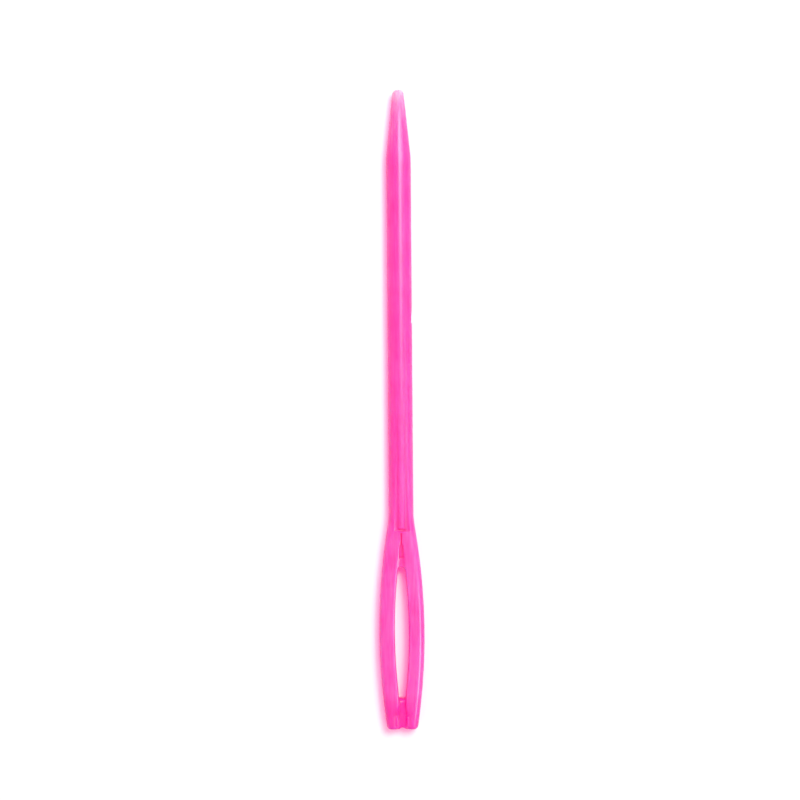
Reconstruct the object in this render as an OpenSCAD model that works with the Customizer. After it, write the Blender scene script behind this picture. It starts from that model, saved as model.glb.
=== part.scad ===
// Yarn needle moulded in one piece: blunt point, round shaft and a long bowed eye.
// It lies on its side: +Y runs to the point, +X across the eye, +Z up, and z = 0 is the table.
// Every y below is measured from the butt, the end behind the eye.

/* [Overall] */
// Length from the butt to the tip of the point
needle_l = 90; // [80:1:110]

/* [Shaft] */
// Diameter of the round shaft
shaft_d = 3.5; // [3.3:0.1:4]
// How much the shaft's radius swells towards the root
root_swell = 0.03; // [0.01:0.01:0.06]
// Length of the stretch over which the shaft swells
swell_l = 17; // [12:0.5:24]

/* [Point] */
// Length of the point, from the tip to the full shaft
point_l = 10.6; // [8:0.2:16]
// Radius of the rounding round the blunt nose
nose_r = 0.48; // [0.3:0.02:0.6]
// Radius of the flat end inside that rounding
nose_flat_r = 0.33; // [0.2:0.01:0.5]
// Radius of the gentle curve that turns the taper into the shaft
taper_blend_r = 20; // [5:1:30]

/* [Limbs] */
// Greatest width across the two limbs of the eye
eye_w = 6.4; // [6:0.1:8]
// Place of the greatest width
eye_mid_y = 13.6; // [12:0.2:15]
// Radius of the bow along the outside of a limb
limb_bow_r = 88; // [70:1:110]
// Thickness of a limb, face to face
limb_t = 3.2; // [2.8:0.05:3.4]
// Radius of the rounding along the outside of a limb
limb_outer_r = 1.1; // [0.5:0.05:1.3]
// Radius of the rounding along the inside of a limb
limb_inner_r = 0.9; // [0.4:0.05:1]
// Place where the shaft ends in a small step, and the limbs go on alone
root_y = 27.9; // [27:0.1:29]

/* [Butt] */
// Radius of the butt's corners, seen from above
butt_corner_r = 0.55; // [0.2:0.05:0.9]
// Radius of the butt's edges, seen from the side
butt_edge_r = 0.4; // [0.1:0.05:0.8]
// How far the middle of the butt sits back from the ends of the limbs
butt_notch = 0.25; // [0:0.05:0.6]

/* [Slot] */
// Greatest width of the slot that takes the yarn
slot_w = 1.96; // [1.6:0.02:2.4]
// Radius of the bow along a side of the slot
slot_bow_r = 80; // [60:1:82]
// Place of the slot's square end
slot_start_y = 4.4; // [3.5:0.1:6]
// Place of the slot's narrow, round end
slot_end_y = 22.8; // [21.5:0.1:23.4]

/* [Web] */
// Depth of the web at the butt, below the faces of the limbs
butt_web_drop = 0.7; // [0.3:0.05:1]
// Width of the valley over that web
valley_w = 0.9; // [0.6:0.05:1.1]
// Depth of the bridge at the slot's narrow end, below the faces of the limbs
bridge_drop = 0.4; // [0.2:0.05:0.6]
// Length of the bridge
bridge_l = 1.3; // [0.8:0.1:2]
// Depth of the pocket between the bridge and the root, below the faces of the limbs
pocket_drop = 0.75; // [0.4:0.05:1.1]

/* [Rib] */
// Width of the rib on the shaft's face, between the two shallow flutes beside it
rib_w = 1.5; // [1.2:0.05:1.8]
// How far the rib sits to one side of the shaft's middle
rib_x = 0.15; // [-0.3:0.05:0.3]
// Length of the flutes, which are deepest at the root and run out up the shaft
flute_l = 16; // [8:1:24]
// Depth of a flute at the root
flute_depth = 0.12; // [0.04:0.01:0.2]
// Radius of a flute's floor
flute_r = 0.6; // [0.3:0.05:1]
// Width of the cross groove that ends the rib
cross_w = 0.35; // [0.2:0.05:0.6]
// Length of the cross groove
cross_l = 1.8; // [1.2:0.1:2.4]
// Depth of the cross groove, below the faces of the limbs
cross_drop = 0.15; // [0.05:0.01:0.3]

/* [Gate mark] */
// Place of the scar that the moulding gate leaves on the shaft's side
gate_y = 58.3; // [50:0.1:64]
// Length of the scar
gate_l = 2.4; // [1:0.1:3]
// Depth of the scar
gate_depth = 0.1; // [0.05:0.01:0.2]

/* [Hidden] */
$fn = 96;

pink = [1, 0.31, 0.72];
shaft_r = shaft_d / 2;
root_r = shaft_r + root_swell;
// How far a cutting shape runs past the surface that it cuts
past = 1;

// The point's taper touches the nose and the blend, and both touch it along its slope
nose_y = needle_l - nose_r;
blend_y = needle_l - point_l;
blend_x = shaft_r - taper_blend_r;
nose_to_blend = [nose_flat_r - blend_x, nose_y - blend_y];
taper_slope = asin((taper_blend_r - nose_r) / norm(nose_to_blend)) - atan(nose_to_blend.x / nose_to_blend.y);

// A limb is the rim of a large disc, so its outline is one arc
limb_centre_x = eye_w / 2 - limb_bow_r;
limb_w = (eye_w - slot_w) / 2;
outer_r = min(limb_outer_r, limb_t / 2, limb_w / 2);
inner_r = min(limb_inner_r, limb_t / 2, limb_w / 2);

// A round corner at the butt touches both the limb's bow and the butt's straight end
corner_x = limb_centre_x + sqrt((limb_bow_r - butt_corner_r) ^ 2 - (eye_mid_y - butt_corner_r) ^ 2);
corner_touch_y = eye_mid_y - limb_bow_r * (eye_mid_y - butt_corner_r) / (limb_bow_r - butt_corner_r);

// The limbs run on inside the shaft until they are this narrow, so that they end out of sight
buried_half_w = 0.36 * shaft_d;
buried_y = eye_mid_y + sqrt(limb_bow_r ^ 2 - (buried_half_w - limb_centre_x) ^ 2);

slot_centre_x = slot_w / 2 - slot_bow_r;
slot_end_half_w = sqrt(slot_bow_r ^ 2 - (slot_end_y - eye_mid_y) ^ 2) + slot_centre_x;
pocket_y = slot_end_y + bridge_l;

// The valley at the butt is straight, and ends where the slot's bowed sides are as far apart
valley_end_y = eye_mid_y - sqrt(slot_bow_r ^ 2 - (valley_w / 2 - slot_centre_x) ^ 2);

// Turns a shape made about Z so that its axis runs along the needle
module along_needle() rotate([-90, 0, 0]) children();

// Points along an arc about a centre, from one angle to another
function arc(centre, r, from, to, steps = 16) = [
    for (i = [0:steps])
        let (a = from + (to - from) * i / steps)
        centre + r * [cos(a), sin(a)]
];

// Shaft and point, turned from one outline: the swell, the shaft, the blend, the taper, the nose
module spindle() along_needle() rotate_extrude() polygon(concat(
    [[0, root_y], [root_r, root_y], [shaft_r, root_y + swell_l]],
    arc([blend_x, blend_y], taper_blend_r, 0, taper_slope),
    arc([nose_flat_r, nose_y], nose_r, taper_slope, 90),
    [[0, needle_l]]
));

// Section of a disc's rim, rounded on both edges, reaching inwards as far as depth
module rim_section(r, depth, t, edge_r) {
    translate([r - depth, -t / 2]) square([depth - edge_r, t]);
    translate([r - depth, edge_r - t / 2]) square([depth, t - 2 * edge_r]);
    for (side = [-1, 1])
        translate([r - edge_r, side * (t / 2 - edge_r)]) circle(edge_r);
}

// Section of the cutter that leaves such a rim on the material outside it
module flared_section(r, depth, t, edge_r) {
    translate([r - depth, -t / 2 - past]) square([depth, t + 2 * past]);
    for (side = [0, 1]) mirror([0, side])
        difference() {
            translate([r - past, t / 2 - edge_r]) square([past + edge_r, edge_r + past]);
            translate([r + edge_r, t / 2 - edge_r]) circle(edge_r);
        }
}

// Sweeps a section round the disc whose centre is at x, through the eye's own stretch only
module bow(x, r) {
    sweep = 1.6 * asin(eye_mid_y / r);
    translate([x, eye_mid_y, 0]) rotate([0, 0, -sweep])
        rotate_extrude(angle = 2 * sweep, $fn = 256) children();
}

// Outline of the eye from above, with the corners of the butt rounded
module butt_outline() {
    translate([-eye_w / 2, corner_touch_y]) square([eye_w, buried_y - corner_touch_y]);
    translate([-corner_x, 0]) square([2 * corner_x, 2 * butt_corner_r]);
    for (side = [-1, 1])
        translate([side * corner_x, butt_corner_r]) circle(butt_corner_r);
}

// Outline of the eye from the side, with the edges of the butt rounded
module side_outline() {
    inset = limb_t / 2 - butt_edge_r;
    translate([butt_edge_r, -limb_t]) square([buried_y, 2 * limb_t]);
    translate([0, -inset]) square([2 * butt_edge_r, 2 * inset]);
    for (side = [-1, 1])
        translate([butt_edge_r, side * inset]) circle(butt_edge_r);
}

// The right-hand limb, filled in as far as the middle of the eye
module half_blank() intersection() {
    bow(limb_centre_x, limb_bow_r) rim_section(limb_bow_r, eye_w / 2 + past, limb_t, outer_r);
    translate([0, -past, -limb_t]) cube([eye_w, buried_y + past, 2 * limb_t]);
}

module eye_blank() intersection() {
    union() {
        half_blank();
        mirror([1, 0, 0]) half_blank();
    }
    translate([0, 0, -limb_t]) linear_extrude(2 * limb_t) butt_outline();
    rotate([90, 0, 90]) translate([0, 0, -eye_w]) linear_extrude(2 * eye_w) side_outline();
}

// The web at the butt, set back a little from the limbs' ends, with its inner edge rounded over
module butt_web() {
    half_t = limb_t / 2 - butt_web_drop;
    translate([-eye_w / 2, butt_notch, -half_t])
        cube([eye_w, slot_start_y - half_t - butt_notch, 2 * half_t]);
    translate([-eye_w / 2, slot_start_y - half_t, 0]) rotate([0, 90, 0]) cylinder(r = half_t, h = eye_w);
}

// The bridge at the slot's narrow end, and the floor of the pocket behind it
module root_web() difference() {
    union() {
        bridge_half_t = limb_t / 2 - bridge_drop;
        floor_half_t = limb_t / 2 - pocket_drop;
        translate([-eye_w / 2, slot_end_y - slot_end_half_w, -bridge_half_t])
            cube([eye_w, bridge_l + slot_end_half_w, 2 * bridge_half_t]);
        translate([-eye_w / 2, pocket_y - past, -floor_half_t])
            cube([eye_w, root_y - pocket_y + 2 * past, 2 * floor_half_t]);
    }
    translate([0, slot_end_y - slot_end_half_w, -limb_t]) cylinder(r = slot_end_half_w, h = 2 * limb_t);
}

// Everything to the left of the right-hand limb, with that limb's inner edges left round
module beside_limb() bow(slot_centre_x, slot_bow_r)
    flared_section(slot_bow_r, slot_w + past, limb_t, inner_r);

// The space between the limbs: the slot, and the valleys where the two limbs run together
module slot() difference() {
    union() {
        intersection() {
            beside_limb();
            mirror([1, 0, 0]) beside_limb();
            translate([-eye_w / 2, -past, -limb_t]) cube([eye_w, root_y + past, 2 * limb_t]);
        }
        translate([-valley_w / 2, -past, -limb_t]) cube([valley_w, valley_end_y + past, 2 * limb_t]);
    }
    butt_web();
    root_web();
}

// Two round-floored flutes on each face, with the rib between them
module flutes() {
    tilt = atan(flute_depth / flute_l - root_swell / swell_l);
    for (face = [0, 1], side = [-1, 1]) mirror([0, 0, face]) {
        x = rib_x + side * rib_w / 2;
        surface_z = sqrt(root_r ^ 2 - x ^ 2);
        translate([x, root_y, surface_z - flute_depth + flute_r]) rotate([tilt, 0, 0])
            along_needle() cylinder(r = flute_r, h = flute_l + past);
    }
}

// The groove that ends the rib on each face, shaped as by a thin wheel
module cross_grooves() {
    wheel_r = (cross_l ^ 2 / 4 + cross_drop ^ 2) / (2 * cross_drop);
    for (face = [0, 1]) mirror([0, 0, face])
        translate([rib_x, root_y - cross_w, limb_t / 2 - cross_drop + wheel_r])
            along_needle() cylinder(r = wheel_r, h = cross_w);
}

// The gate's scar, a shallow round scoop
module gate_mark() {
    scoop_r = (gate_l ^ 2 / 4 + gate_depth ^ 2) / (2 * gate_depth);
    translate([shaft_r - gate_depth + scoop_r, gate_y, -shaft_r]) cylinder(r = scoop_r, h = shaft_d);
}

module needle() color(pink) translate([0, -needle_l / 2, root_r]) difference() {
    union() {
        spindle();
        eye_blank();
    }
    slot();
    flutes();
    cross_grooves();
    gate_mark();
}

needle();
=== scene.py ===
import math

import bpy
import numpy as np
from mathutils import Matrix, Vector


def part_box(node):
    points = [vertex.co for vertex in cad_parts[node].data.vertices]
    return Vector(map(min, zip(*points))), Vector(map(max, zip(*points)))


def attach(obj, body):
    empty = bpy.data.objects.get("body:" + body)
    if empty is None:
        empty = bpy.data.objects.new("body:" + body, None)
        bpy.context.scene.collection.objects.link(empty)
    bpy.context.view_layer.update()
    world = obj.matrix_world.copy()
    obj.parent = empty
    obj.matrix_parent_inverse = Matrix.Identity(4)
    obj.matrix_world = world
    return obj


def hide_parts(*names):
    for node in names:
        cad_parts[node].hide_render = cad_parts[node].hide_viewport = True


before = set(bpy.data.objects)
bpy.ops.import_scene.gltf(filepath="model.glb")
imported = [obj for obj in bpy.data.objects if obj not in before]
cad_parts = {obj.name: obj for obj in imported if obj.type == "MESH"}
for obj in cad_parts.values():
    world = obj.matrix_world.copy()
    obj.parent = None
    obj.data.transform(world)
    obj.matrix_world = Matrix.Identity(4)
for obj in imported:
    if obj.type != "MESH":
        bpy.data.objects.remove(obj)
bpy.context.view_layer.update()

# The needle's own lengths are in millimetres, with y from the butt and z from its axis.
MM = 0.001
low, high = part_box("needle")
LENGTH = (high.y - low.y) / MM
EYE_HALF_W = (high.x - low.x) / 2 / MM
# Taken off the shaft's radius at the root, so that the fillets there stay inside the solid's box
FILLET_ROOM = 0.008
ROOT_R = (high.z - low.z) / 2 / MM - FILLET_ROOM
BUTT = Vector(((low.x + high.x) / 2, low.y, (low.z + high.z) / 2))

# Shaft and point
SHAFT_R = 1.75
SWELL_L = 17.0
POINT_L = 10.6
BLEND_R = 20.0
NOSE_R = 0.48
NOSE_FLAT_R = 0.33
NOSE_DOME_R = 3.0

# Limbs
EYE_MID_Y = 13.6
LIMB_BOW_R = 88.0
LIMB_HALF_T = 1.6
LIMB_OUTER_R = 1.1
LIMB_INNER_R = 0.35
ROOT_Y = 27.9
ROOT_EDGE_R = 0.08
ROOT_BLEND = 0.25

# Butt
BUTT_EDGE_R = 0.45
BUTT_NOTCH = 0.2
BUTT_GAP_HALF_W = 0.45
BUTT_GAP_BLEND = 0.15
BUTT_NOTCH_HALF_W = 0.65
VALLEY_HALF_W = 1.15
VALLEY_DEPTH = 0.45
VALLEY_BLEND = 0.5
VALLEY_FADE_L = 2.6
LIP_X = 0.78
LIP_START_Y = 0.7
LIP_END_Y = 1.7
LIP_R = 0.2
LIP_RISE = 0.1

# Slot and webs
SLOT_HALF_W = 0.98
SLOT_BOW_R = 80.0
SLOT_START_Y = 4.4
SLOT_END_Y = 22.8
SLOT_END_R = 0.506
BUTT_WEB_EDGE_R = 0.6
BUTT_WEB_BLEND = 0.1
ROOT_WEB_HALF_T = 1.4
ROOT_WEB_EDGE_R = 0.25
ROOT_WEB_BLEND = 0.2
ROOT_WEB_BURIED = 1.0
WEB_HALF_W = 1.3

# Pocket behind the slot's round end, and the slit that runs on from it
POCKET_Y = 24.15
POCKET_END_Y = 25.7
POCKET_HALF_W = 0.27
POCKET_HALF_T = 1.0
SLIT_END_Y = 27.6
SLIT_HALF_W = 0.075
SLIT_RUNOUT = 0.4

# Rib, flutes and cross groove
RIB_X = 0.15
RIB_W = 1.5
FLUTE_L = 16.0
FLUTE_DEPTH = 0.17
FLUTE_R = 0.5
CROSS_Y = 28.05
CROSS_W = 0.38
CROSS_L = 1.9
CROSS_DEPTH = 0.27
CUT_BLEND = 0.05

# Gate scar: a scoop that runs out towards the point and ends in a step towards the eye
GATE_Y = 57.2
GATE_L = 2.6
GATE_DEPTH = 0.1
GATE_STEP = 0.15

LIMB_X = EYE_HALF_W - LIMB_BOW_R
SLOT_X = SLOT_HALF_W - SLOT_BOW_R
NOSE_Y = LENGTH - NOSE_R
BLEND_Y = LENGTH - POINT_L
BLEND_X = SHAFT_R - BLEND_R
TO_BLEND_X = NOSE_FLAT_R - BLEND_X
TO_BLEND_Y = NOSE_Y - BLEND_Y
BLEND_LEAN = math.atan(TO_BLEND_X / TO_BLEND_Y)
TAPER = math.asin((BLEND_R - NOSE_R) / math.hypot(TO_BLEND_X, TO_BLEND_Y)) - BLEND_LEAN
VALLEY_R = (VALLEY_HALF_W ** 2 + VALLEY_DEPTH ** 2) / (2 * VALLEY_DEPTH)
FAR = LENGTH  # stands for no surface near


def round_max(a, b, r):
    """Where both distances hold, with the edge between them rounded to radius r."""
    return np.minimum(np.maximum(a, b), -r) + np.hypot(np.maximum(a + r, 0), np.maximum(b + r, 0))


def soft_min(a, b, k):
    """Where either distance holds, with a fillet about k wide between them."""
    h = np.clip(0.5 + 0.5 * (b - a) / k, 0, 1)
    return b + (a - b) * h - k * h * (1 - h)


def soft_max(a, b, k):
    """Where both distances hold, with the edge between them softened over about k."""
    return -soft_min(-a, -b, k)


def smooth_step(t):
    """0 below 0, 1 above 1, and a smooth rise between."""
    t = np.clip(t, 0, 1)
    return t * t * (3 - 2 * t)


def fade(y, start, end):
    """0 before start and 1 past end, seen from start towards end."""
    return smooth_step((y - start) / (end - start))


def spindle(x, y, z):
    """Shaft and point, round about the needle's axis."""
    rho = np.hypot(x, z)
    arc_end_y = BLEND_Y + BLEND_R * math.sin(TAPER)
    arc_end_r = BLEND_X + BLEND_R * math.cos(TAPER)
    on_arc = np.clip(y - BLEND_Y, 0, arc_end_y - BLEND_Y)
    swell = (ROOT_R - SHAFT_R) * (1 - smooth_step((y - ROOT_Y) / SWELL_L))
    radius = BLEND_X + np.sqrt(BLEND_R ** 2 - on_arc ** 2) + swell
    radius = np.where(y > arc_end_y, arc_end_r - (y - arc_end_y) * math.tan(TAPER), radius)
    side = (rho - radius) * np.where(y > arc_end_y, math.cos(TAPER), 1)
    dome = np.hypot(rho, np.maximum(y - LENGTH + NOSE_DOME_R, 0)) - NOSE_DOME_R
    return round_max(round_max(side, dome, NOSE_R), ROOT_Y - y, ROOT_EDGE_R)


def limbs(x, y, z):
    """The two bowed limbs, which run together at both ends of the slot."""
    ax = np.abs(x)
    outer = np.hypot(ax - LIMB_X, y - EYE_MID_Y) - LIMB_BOW_R
    inner = SLOT_BOW_R - np.hypot(ax - SLOT_X, y - EYE_MID_Y)
    gap = np.where(y < EYE_MID_Y, BUTT_GAP_HALF_W - ax, -FAR)
    inner = soft_max(inner, gap, BUTT_GAP_BLEND)
    face = np.abs(z) - LIMB_HALF_T
    return np.maximum(round_max(face, outer, LIMB_OUTER_R), round_max(face, inner, LIMB_INNER_R))


def valley(x, y, z):
    """The round hollow that the butt's faces sink to between the limbs."""
    return np.hypot(x, np.abs(z) - LIMB_HALF_T + VALLEY_DEPTH - VALLEY_R) - VALLEY_R


def butt_lips(x, y, z):
    """Two short round ridges on the valley's slopes, next to the butt's end."""
    drop = VALLEY_DEPTH - VALLEY_R + math.sqrt(VALLEY_R ** 2 - LIP_X ** 2)
    from_rod = np.hypot(np.abs(x) - LIP_X, np.abs(z) - LIMB_HALF_T + drop + LIP_R - LIP_RISE)
    along = y - np.clip(y, LIP_START_Y, LIP_END_Y)
    return np.hypot(from_rod, along) - LIP_R


def webs(x, y, z):
    """What fills the gap between the limbs: the butt's web, and the bridge at the slot's round end."""
    ax, az = np.abs(x), np.abs(z)
    top = soft_max(az - LIMB_HALF_T, -valley(x, y, z), VALLEY_BLEND)
    butt = round_max(top, y - SLOT_START_Y, BUTT_WEB_EDGE_R)
    end_y = SLOT_END_Y - SLOT_END_R
    round_end = np.where(y > end_y, SLOT_END_R - np.hypot(x, y - end_y),
                         np.maximum(SLOT_END_R - ax, 0) + end_y - y)
    root = round_max(az - ROOT_WEB_HALF_T, round_end, ROOT_WEB_EDGE_R)
    root = np.maximum(root, y - ROOT_Y - ROOT_WEB_BURIED)
    return np.maximum(butt, ax - WEB_HALF_W), np.maximum(root, ax - WEB_HALF_W)


def pocket(x, y, z):
    """The cut into both faces behind the bridge, which narrows to the slit."""
    narrowing = smooth_step((y - POCKET_END_Y) / SLIT_RUNOUT)
    half_w = POCKET_HALF_W + (SLIT_HALF_W - POCKET_HALF_W) * narrowing
    ends = np.maximum(POCKET_Y - y, y - SLIT_END_Y)
    return np.maximum(np.maximum(np.abs(x) - half_w, ends), POCKET_HALF_T - np.abs(z))


def flutes(x, y, z):
    """Two round-floored cuts on each face, which leave the rib between them."""
    nearest = np.full(np.shape(y), FAR)
    slope = FLUTE_DEPTH / FLUTE_L - (ROOT_R - SHAFT_R) / SWELL_L
    for side in (-1, 1):
        at_x = RIB_X + side * RIB_W / 2
        at_z = math.sqrt(ROOT_R ** 2 - at_x ** 2) - FLUTE_DEPTH + FLUTE_R
        rod = np.hypot(x - at_x, np.abs(z) - at_z - (y - ROOT_Y) * slope) - FLUTE_R
        nearest = np.minimum(nearest, rod)
    return np.maximum(nearest, ROOT_Y - y)


def cross_groove(x, y, z):
    """The groove that ends the rib on each face, shaped as by a thin wheel."""
    wheel_r = (CROSS_L ** 2 / 4 + CROSS_DEPTH ** 2) / (2 * CROSS_DEPTH)
    wheel = np.hypot(x - RIB_X, np.abs(z) - LIMB_HALF_T + CROSS_DEPTH - wheel_r) - wheel_r
    return round_max(wheel, np.abs(y - CROSS_Y) - CROSS_W / 2, CROSS_W / 4)


def gate_scar(x, y, z):
    """Everything outside the shaft's side where the gate was cut off."""
    t = (y - GATE_Y) / GATE_L
    depth = GATE_DEPTH * (1 - smooth_step(t)) * smooth_step((y - GATE_Y + GATE_STEP) / GATE_STEP)
    return SHAFT_R - depth - x + np.where(depth > 0, 0, FAR)


def needle_field(x, y, z):
    """Below zero inside the needle, and about the distance to its surface in millimetres."""
    butt_web, root_web = webs(x, y, z)
    eye = soft_min(soft_min(limbs(x, y, z), butt_web, BUTT_WEB_BLEND), root_web, ROOT_WEB_BLEND)
    fading = (VALLEY_DEPTH + VALLEY_BLEND) * smooth_step((y - SLOT_START_Y) / VALLEY_FADE_L + 1)
    eye = soft_max(eye, -valley(x, y, z) - fading, VALLEY_BLEND)
    eye = soft_min(eye, butt_lips(x, y, z), CUT_BLEND)
    butt_end = BUTT_NOTCH * (1 - smooth_step(np.abs(x) / BUTT_NOTCH_HALF_W))
    eye = round_max(eye, butt_end - y, BUTT_EDGE_R)
    eye = soft_max(eye, -pocket(x, y, z), CUT_BLEND)
    whole = soft_min(spindle(x, y, z), eye, ROOT_BLEND)
    whole = soft_max(whole, -flutes(x, y, z), CUT_BLEND)
    whole = soft_max(whole, -cross_groove(x, y, z), CUT_BLEND)
    return soft_max(whole, -gate_scar(x, y, z), CUT_BLEND)


# The mesh is made on a grid with finer cells where the forms are smaller
SIDE_CELL = 0.12
LIMB_EDGE_CELL = 0.07
CUT_CELL = 0.05
COARSE_CELL = 0.3
EYE_CELL = 0.2
MIDDLE_CELL = 0.15
GATE_CELL = 0.1
FINE_CELL = 0.08
NOSE_CELL = 0.07
GRID_PAST = 0.2
CUTS_X = 0.5
LIMB_EDGES_X = 1.2
UPWARD_Z = 2.0

# How far before or past a form its finer cells reach, along the needle
BUTT_ZONE = 1.0
WEB_EDGE_ZONE = 0.8
BRIDGE_ZONE = 1.0
ROOT_ZONE = 0.5
FLUTE_ZONE = 4.1
GATE_ZONE = (0.3, 3.0)
BLEND_ZONE = 0.3
NOSE_ZONE = 1.4


def graded(start, *stretches):
    """Grid lines from start on, through stretches that are given as (end, step)."""
    lines = []
    for end, step in stretches:
        lines.append(np.arange(start, end - step / 2, step))
        start = end
    return np.concatenate(lines + [[start]])


def grid_lines():
    """The grid's lines across the needle, along it and up."""
    side_x = EYE_HALF_W + GRID_PAST
    across = graded(-side_x, (-LIMB_EDGES_X, SIDE_CELL), (-CUTS_X, LIMB_EDGE_CELL), (CUTS_X, CUT_CELL),
                    (LIMB_EDGES_X, LIMB_EDGE_CELL), (side_x, SIDE_CELL))
    along = graded(
        -3 * FINE_CELL,
        (BUTT_ZONE, FINE_CELL),
        (SLOT_START_Y - WEB_EDGE_ZONE, MIDDLE_CELL),
        (SLOT_START_Y + WEB_EDGE_ZONE, FINE_CELL),
        (SLOT_END_Y - BRIDGE_ZONE, EYE_CELL),
        (ROOT_Y + ROOT_ZONE, FINE_CELL),
        (ROOT_Y + FLUTE_ZONE, MIDDLE_CELL),
        (GATE_Y - GATE_ZONE[0], COARSE_CELL),
        (GATE_Y + GATE_ZONE[1], GATE_CELL),
        (BLEND_Y - BLEND_ZONE, COARSE_CELL),
        (LENGTH - NOSE_ZONE, MIDDLE_CELL),
        (LENGTH + GRID_PAST, NOSE_CELL))
    return across, along, graded(-UPWARD_Z, (UPWARD_Z, SIDE_CELL))


def surface_net(field, lines):
    """Quads round a field's zero surface, with one point in each grid cell that the surface passes."""
    values = field(*np.meshgrid(*lines, indexing="ij"))
    cells = np.array(values.shape) - 1
    total = np.zeros((cells.prod(), 3))
    count = np.zeros(cells.prod())
    quads = []
    for axis in range(3):
        b, c = (axis + 1) % 3, (axis + 2) % 3
        here = np.moveaxis(values, axis, 0)
        start, end = here[:-1], here[1:]
        crossed = np.argwhere((start < 0) != (end < 0))
        f0, f1 = start[tuple(crossed.T)], end[tuple(crossed.T)]
        others = [k for k in range(3) if k != axis]
        index = np.empty_like(crossed)
        index[:, axis] = crossed[:, 0]
        index[:, others] = crossed[:, 1:]
        point = np.stack([lines[k][index[:, k]] for k in range(3)], axis=1)
        span = lines[axis][index[:, axis] + 1] - lines[axis][index[:, axis]]
        point[:, axis] += span * f0 / (f0 - f1)
        ring = []
        for db, dc in ((-1, -1), (0, -1), (0, 0), (-1, 0)):
            cell = index.copy()
            cell[:, b] += db
            cell[:, c] += dc
            flat = np.ravel_multi_index(cell.T, cells)
            ring.append(flat)
            for k in range(3):
                total[:, k] += np.bincount(flat, point[:, k], len(total))
            count += np.bincount(flat, minlength=len(total))
        ring = np.stack(ring, axis=1)
        quads.append(np.where((f0 < 0)[:, None], ring, ring[:, ::-1]))
    used = count > 0
    number = np.cumsum(used) - 1
    return total[used] / count[used][:, None], number[np.concatenate(quads)]


def gradient(field, p, step=0.002):
    """Slope of the field at each point, along x, y and z."""
    slopes = []
    for k in range(3):
        shift = np.zeros(3)
        shift[k] = step
        slopes.append((field(*(p + shift).T) - field(*(p - shift).T)) / (2 * step))
    return np.stack(slopes, axis=1)


def settle(field, p, quads, rounds=5, last_rounds=2, longest=0.05, least_slope=0.05):
    """Evens the points out along the surface and puts them exactly on it.

    No point moves more than longest in a round, and the last rounds only put the points on the surface."""
    ends = np.concatenate([quads[:, [k, (k + 1) % 4]] for k in range(4)])
    ends = np.unique(np.sort(ends, axis=1), axis=0)
    near = np.bincount(ends.ravel(), minlength=len(p))
    for r in range(rounds + last_rounds):
        slope = gradient(field, p)
        size = np.maximum((slope ** 2).sum(1), least_slope)
        move = -(field(*p.T) / size)[:, None] * slope
        if r < rounds:
            after = [np.bincount(ends[:, 0], p[ends[:, 1], k], len(p)) for k in range(3)]
            before = [np.bincount(ends[:, 1], p[ends[:, 0], k], len(p)) for k in range(3)]
            total = np.stack(after, axis=1) + np.stack(before, axis=1)
            pull = 0.5 * (total / near[:, None] - p)
            pull -= ((pull * slope).sum(1) / size)[:, None] * slope
            move += pull
        far = np.sqrt((move ** 2).sum(1))[:, None]
        p = p + move * np.minimum(1, longest / np.maximum(far, 1e-9))
    return p


def massed(field, p, reach=(0.8, 1.6), directions=40):
    """Share of plastic in the space round each point: high in hollows, low where the needle is thin."""
    k = np.arange(directions) + 0.5
    up = 1 - 2 * k / directions
    turn = k * math.pi * (3 - math.sqrt(5))
    flat = np.sqrt(1 - up ** 2)
    aim = np.stack([flat * np.cos(turn), flat * np.sin(turn), up], axis=1)
    share = np.zeros(len(p))
    for r in reach:
        for d in aim:
            share += field(*(p + r * d).T) < 0
    return share / (len(reach) * directions)


# Colours of the plastic by the share of plastic round a point, and where they change from that.
# The deeper colours where a point sits in a hollow are painted shade, and the paler ones where
# the needle is thin are painted glow of light shining through the plastic
SHAFT_MASS = 0.4
TINT_MASS = (0.3, 0.4, 0.6, 0.8)
TINTS = ((0.96, 0.068, 0.46), (0.96, 0.043, 0.413), (0.96, 0.003, 0.38), (0.96, 0.07, 0.58))
DEEPEST_MASS = TINT_MASS[2]
# Painted glow: the limbs between the slot's ends are made paler, for light shining through the thin plastic
LIMB_PAINTED_GLOW = 0.1
LIMB_PAINTED_GLOW_START = (SLOT_START_Y - 1.0, SLOT_START_Y + 1.0)
LIMB_PAINTED_GLOW_END = (ROOT_Y + 2.0, ROOT_Y - 3.0)
# Painted shade: deeper colour over the butt, and more in its valley
BUTT_PAINTED_SHADE = 0.08
VALLEY_PAINTED_SHADE = 0.15
BUTT_PAINTED_SHADE_END = (5.0, 2.0)
# Painted light: paler colour on the limbs' walls round the slot, which stand in shade
SLOT_PAINTED_LIGHT = (0.0, 0.03, 0.03)
SLOT_PAINTED_LIGHT_W = 0.2
SLOT_PAINTED_LIGHT_START = (SLOT_START_Y, SLOT_START_Y + 3.0)
# Painted glow: paler colour towards the point, for light shining through the thin tip
POINT_PAINTED_GLOW = (0.0, 0.3, 0.19)
POINT_PAINTED_GLOW_L = 2.7
POINT_MATT = (LENGTH - 5.0, LENGTH - 1.8)


def past_slot(x, y):
    """Distance into the limbs from the slot's round end and bowed sides."""
    end_y = SLOT_END_Y - SLOT_END_R
    side = np.hypot(np.abs(x) - SLOT_X, y - EYE_MID_Y) - SLOT_BOW_R
    return np.maximum(np.where(y > end_y, np.hypot(x, y - end_y) - SLOT_END_R, side), 0)


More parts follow.
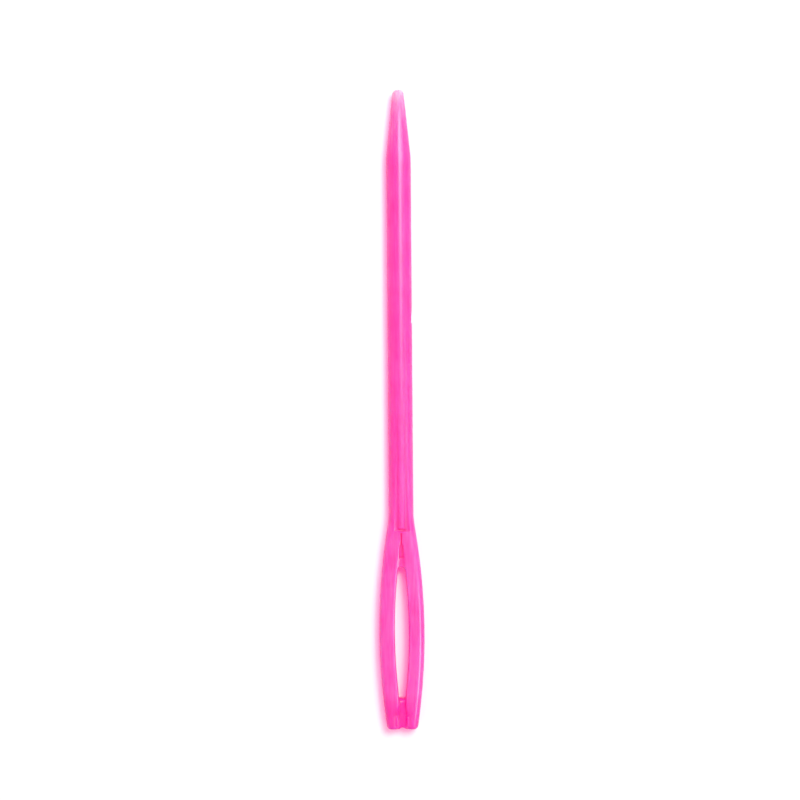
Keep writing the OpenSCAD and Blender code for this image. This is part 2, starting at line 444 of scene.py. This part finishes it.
def tint_with_painted_light(p, mass):
    """Base colour of each point, with painted shade and painted glow: deeper in the hollows and at the butt
    as painted shade, paler in the thin limbs and towards the point as painted glow of light through the
    plastic, and paler on the slot's walls as painted light.
    """
    x, y = p[:, 0], p[:, 1]
    # Thin limbs made paler as painted glow
    limb_glow_mask = fade(y, *LIMB_PAINTED_GLOW_START) * fade(y, *LIMB_PAINTED_GLOW_END)
    # Painted shade over the butt and, more, in its valley
    butt_shade_mask = fade(y, *BUTT_PAINTED_SHADE_END)
    valley_shade_mask = butt_shade_mask * fade(np.abs(x), VALLEY_HALF_W, 0)
    bulk = np.clip(mass, SHAFT_MASS, 1) - LIMB_PAINTED_GLOW * limb_glow_mask
    deeper = BUTT_PAINTED_SHADE * butt_shade_mask + VALLEY_PAINTED_SHADE * valley_shade_mask
    bulk = np.where(bulk < DEEPEST_MASS, np.minimum(bulk + deeper, DEEPEST_MASS), bulk)
    # The share of plastic picks the colour: deeper in hollows as painted shade, paler where thin as painted
    # glow
    colour = np.stack([np.interp(bulk, TINT_MASS, channel) for channel in zip(*TINTS)], axis=1)
    # Painted light on the walls round the slot
    edge = np.exp(-past_slot(x, y) / SLOT_PAINTED_LIGHT_W) * fade(y, *SLOT_PAINTED_LIGHT_START)
    # Painted glow towards the point
    point = np.exp((y - LENGTH) / POINT_PAINTED_GLOW_L)
    return colour + np.outer(edge, SLOT_PAINTED_LIGHT) + np.outer(point, POINT_PAINTED_GLOW)


def needle_mesh():
    """The needle's surface, with a tint that carries painted shade and painted glow, and a share of mattness
    at each point.
    """
    points, faces = surface_net(needle_field, grid_lines())
    points = settle(needle_field, points, faces)
    tints = np.ones((len(points), 4), np.float32)
    tints[:, :3] = np.clip(tint_with_painted_light(points, massed(needle_field, points)), 0, 1)
    matt = fade(points[:, 1], *POINT_MATT).astype(np.float32)
    made = bpy.data.meshes.new("needle_fine")
    made.from_pydata([tuple(q) for q in points * MM + np.array(BUTT)], [], faces.tolist())
    made.validate()
    made.polygons.foreach_set("use_smooth", [True] * len(made.polygons))
    made.attributes.new("tint", "FLOAT_COLOR", "POINT").data.foreach_set("color", tints.ravel())
    made.attributes.new("matt", "FLOAT", "POINT").data.foreach_set("value", matt)
    return made


mesh = needle_mesh()
needle = bpy.data.objects.new("needle_fine", mesh)
bpy.context.scene.collection.objects.link(needle)
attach(needle, "root")
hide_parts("needle")

# Streaks, clouds and waves of the moulded surface. The scales are waves per metre across the needle
DRAWN_OUT = (1.0, 0.06, 1.0)
FLOW_SCALE = 4200.0
CLOUD_SCALE = 260.0
PEEL_SCALE = 1500.0
FLOW_SHARE = 1.2
STREAKS = (0.75, 1.45)
STREAK_GAINS = (0.5, 1.65)
BLUE_POWER = 0.2
RELIEF_STRENGTH = 0.25
RELIEF_HEIGHT = 0.000012

# Below a roughness of about 0.27 the render keeps specks where the surface is seen at a low angle
FLOW_LEVELS = (0.3, 0.7)
ROUGHNESS = (0.28, 0.31)
MATT_ROUGHER = 0.3
GLOW = (0.98, 0.08, 0.58, 1)


def node(tree, kind, **values):
    """A new node with its properties and its sockets' values set. An underscore stands for a space."""
    made = tree.nodes.new(kind)
    for key, value in values.items():
        if hasattr(made, key):
            setattr(made, key, value)
        else:
            made.inputs[key.replace("_", " ")].default_value = value
    return made


def maths(tree, operation, *values):
    """A math node's result, from sockets and plain numbers."""
    made = node(tree, "ShaderNodeMath", operation=operation)
    for socket, value in zip(made.inputs, values):
        if isinstance(value, float):
            socket.default_value = value
        else:
            tree.links.new(value, socket)
    return made.outputs["Value"]


def map_range(tree, value, span, onto):
    """A value's span drawn onto another one, and kept within that."""
    made = node(tree, "ShaderNodeMapRange", From_Min=span[0], From_Max=span[1])
    made.inputs["To Min"].default_value, made.inputs["To Max"].default_value = onto
    tree.links.new(value, made.inputs["Value"])
    return made.outputs["Result"]


def noise(tree, place, scale, detail, roughness):
    made = node(tree, "ShaderNodeTexNoise", Scale=scale, Detail=detail, Roughness=roughness)
    tree.links.new(place, made.inputs["Vector"])
    return made.outputs["Fac"]


def streaked_tint(tree, flow, cloud):
    """The points' tint with streaks and clouds, stronger in its green than in its blue."""
    tint = node(tree, "ShaderNodeAttribute", attribute_name="tint")
    shade = map_range(tree, maths(tree, "MULTIPLY_ADD", flow, FLOW_SHARE, cloud), STREAKS, STREAK_GAINS)
    gains = node(tree, "ShaderNodeCombineColor", Red=1.0)
    tree.links.new(shade, gains.inputs["Green"])
    tree.links.new(maths(tree, "POWER", shade, BLUE_POWER), gains.inputs["Blue"])
    streaked = node(tree, "ShaderNodeMix", data_type="RGBA", blend_type="MULTIPLY")
    streaked.inputs["Factor"].default_value = 1.0
    tree.links.new(tint.outputs["Color"], streaked.inputs["A"])
    tree.links.new(gains.outputs["Color"], streaked.inputs["B"])
    return streaked.outputs["Result"]


def gloss_level(tree, flow):
    """A soft gloss that varies a little along the streaks and is rougher at the point."""
    matt = node(tree, "ShaderNodeAttribute", attribute_name="matt")
    gloss = map_range(tree, flow, FLOW_LEVELS, ROUGHNESS)
    return maths(tree, "MULTIPLY_ADD", matt.outputs["Fac"], MATT_ROUGHER, gloss)


def relief(tree, drawn):
    """The faint waves that the flow of the plastic leaves on the surface."""
    bump = node(tree, "ShaderNodeBump", Strength=RELIEF_STRENGTH, Distance=RELIEF_HEIGHT)
    tree.links.new(noise(tree, drawn, PEEL_SCALE, detail=2.0, roughness=0.5), bump.inputs["Height"])
    return bump.outputs["Normal"]


def let_through(tree, shader):
    """The shader, with a pink glow in its shadow in place of a black one."""
    through = node(tree, "ShaderNodeBsdfTransparent", Color=GLOW)
    path = node(tree, "ShaderNodeLightPath")
    mixed = node(tree, "ShaderNodeMixShader")
    tree.links.new(path.outputs["Is Shadow Ray"], mixed.inputs["Fac"])
    tree.links.new(shader.outputs["BSDF"], mixed.inputs[1])
    tree.links.new(through.outputs["BSDF"], mixed.inputs[2])
    return mixed.outputs["Shader"]


def new_material(name):
    """A material with nothing but an output: its nodes, and the output's surface socket."""
    material = bpy.data.materials.new(name)
    material.use_nodes = True
    tree = material.node_tree
    tree.nodes.clear()
    return material, tree, node(tree, "ShaderNodeOutputMaterial").inputs["Surface"]


def moulded_plastic():
    material, tree, surface = new_material("moulded_pink_plastic")
    shader = node(tree, "ShaderNodeBsdfPrincipled")
    shader.inputs["IOR"].default_value = 1.47
    shader.inputs["Subsurface Weight"].default_value = 0.9
    shader.inputs["Subsurface Radius"].default_value = (2.0, 0.5, 0.8)
    shader.inputs["Subsurface Scale"].default_value = 0.002
    place = node(tree, "ShaderNodeTexCoord").outputs["Object"]
    mapping = node(tree, "ShaderNodeMapping", Scale=DRAWN_OUT)
    tree.links.new(place, mapping.inputs["Vector"])
    drawn = mapping.outputs["Vector"]
    flow = noise(tree, drawn, FLOW_SCALE, detail=3.0, roughness=0.55)
    cloud = noise(tree, place, CLOUD_SCALE, detail=2.0, roughness=0.5)
    tree.links.new(streaked_tint(tree, flow, cloud), shader.inputs["Base Color"])
    tree.links.new(gloss_level(tree, flow), shader.inputs["Roughness"])
    tree.links.new(relief(tree, drawn), shader.inputs["Normal"])
    tree.links.new(let_through(tree, shader), surface)
    return material


mesh.materials.append(moulded_plastic())

# Studio: a white table, a white surround and soft lamps above
FLOOR_HALF = 4.0
FLOOR_COLOUR = (0.96, 0.96, 0.96, 1)
WORLD_LIGHT = 0.54
LAMP_DISTANCE = 0.6


def white_table():
    material, tree, surface = new_material("white_table")
    matt = node(tree, "ShaderNodeBsdfDiffuse", Color=FLOOR_COLOUR)
    tree.links.new(matt.outputs["BSDF"], surface)
    return material


def seen_directly(tree):
    """1 for rays from the camera, from a reflection or through a clear surface, and 0 for bounced light."""
    path = node(tree, "ShaderNodeLightPath")
    first = maths(tree, "MAXIMUM", path.outputs["Is Camera Ray"], path.outputs["Is Glossy Ray"])
    return maths(tree, "MAXIMUM", first, path.outputs["Is Transmission Ray"])


def studio_world():
    """White all round where it is seen, and dimmer as a light."""
    world = bpy.data.worlds.new("studio")
    world.use_nodes = True
    sky = world.node_tree
    background = sky.nodes["Background"]
    background.inputs["Color"].default_value = (1, 1, 1, 1)
    level = map_range(sky, seen_directly(sky), (0.0, 1.0), (WORLD_LIGHT, 1.0))
    sky.links.new(level, background.inputs["Strength"])
    return world


def softbox(name, tilt, size, radiance, diffuse=False):
    """A rectangular lamp aimed at the needle's middle, which only makes highlights unless diffuse is set.

    The tilts are the degrees from straight up towards +X and +Y."""
    lamp = bpy.data.lights.new(name, "AREA")
    lamp.shape = "RECTANGLE"
    lamp.size, lamp.size_y = size
    lamp.energy = radiance * math.pi * size[0] * size[1]
    aim = Vector((math.tan(math.radians(tilt[0])), math.tan(math.radians(tilt[1])), 1)).normalized()
    made = bpy.data.objects.new(name, lamp)
    made.location = aim * LAMP_DISTANCE
    made.rotation_euler = aim.to_track_quat("Z", "Y").to_euler()
    made.visible_diffuse = diffuse
    bpy.context.scene.collection.objects.link(made)


floor_mesh = bpy.data.meshes.new("table_top")
corners = [(-1, -1), (1, -1), (1, 1), (-1, 1)]
floor_mesh.from_pydata([(FLOOR_HALF * a, FLOOR_HALF * b, low.z) for a, b in corners], [], [(0, 1, 2, 3)])
floor_mesh.materials.append(white_table())
floor = bpy.data.objects.new("table_top", floor_mesh)
bpy.context.scene.collection.objects.link(floor)

bpy.context.scene.world = studio_world()
softbox("key_softbox", tilt=(14, 18), size=(0.24, 0.24), radiance=15.2, diffuse=True)
softbox("edge_softbox", tilt=(56, -21), size=(0.05, 0.05), radiance=150.0)
softbox("point_softbox", tilt=(38, 21), size=(0.05, 0.06), radiance=52.0)

# Photograph: 800 pixels wide, seen from straight above, the needle leaning a little to the left
FRAME_PIXELS = 800
PIXEL = 0.1409 * MM
NEEDLE_PIXEL = (400.2, 409.2)
LEAN = math.radians(0.43)
LENS = 100.0
SENSOR = 36.0


def photo_camera():
    """A camera straight above the needle, as far off as the photograph's scale asks with this lens."""
    made = bpy.data.objects.new("camera", bpy.data.cameras.new("camera"))
    made.data.lens = LENS
    made.data.sensor_width = SENSOR
    made.data.clip_start = 0.01
    middle = (Vector(low) + Vector(high)) / 2
    height = FRAME_PIXELS * PIXEL * LENS / SENSOR
    right, up = math.cos(LEAN), math.sin(LEAN)
    shift_x = (FRAME_PIXELS / 2 - NEEDLE_PIXEL[0]) * PIXEL
    shift_y = (NEEDLE_PIXEL[1] - FRAME_PIXELS / 2) * PIXEL
    made.location = middle + Vector((shift_x * right + shift_y * up, shift_y * right - shift_x * up, height))
    made.rotation_euler = (0, 0, -LEAN)
    bpy.context.scene.collection.objects.link(made)
    return made


bpy.context.scene.camera = photo_camera()
bpy.context.scene.view_settings.view_transform = "Standard"
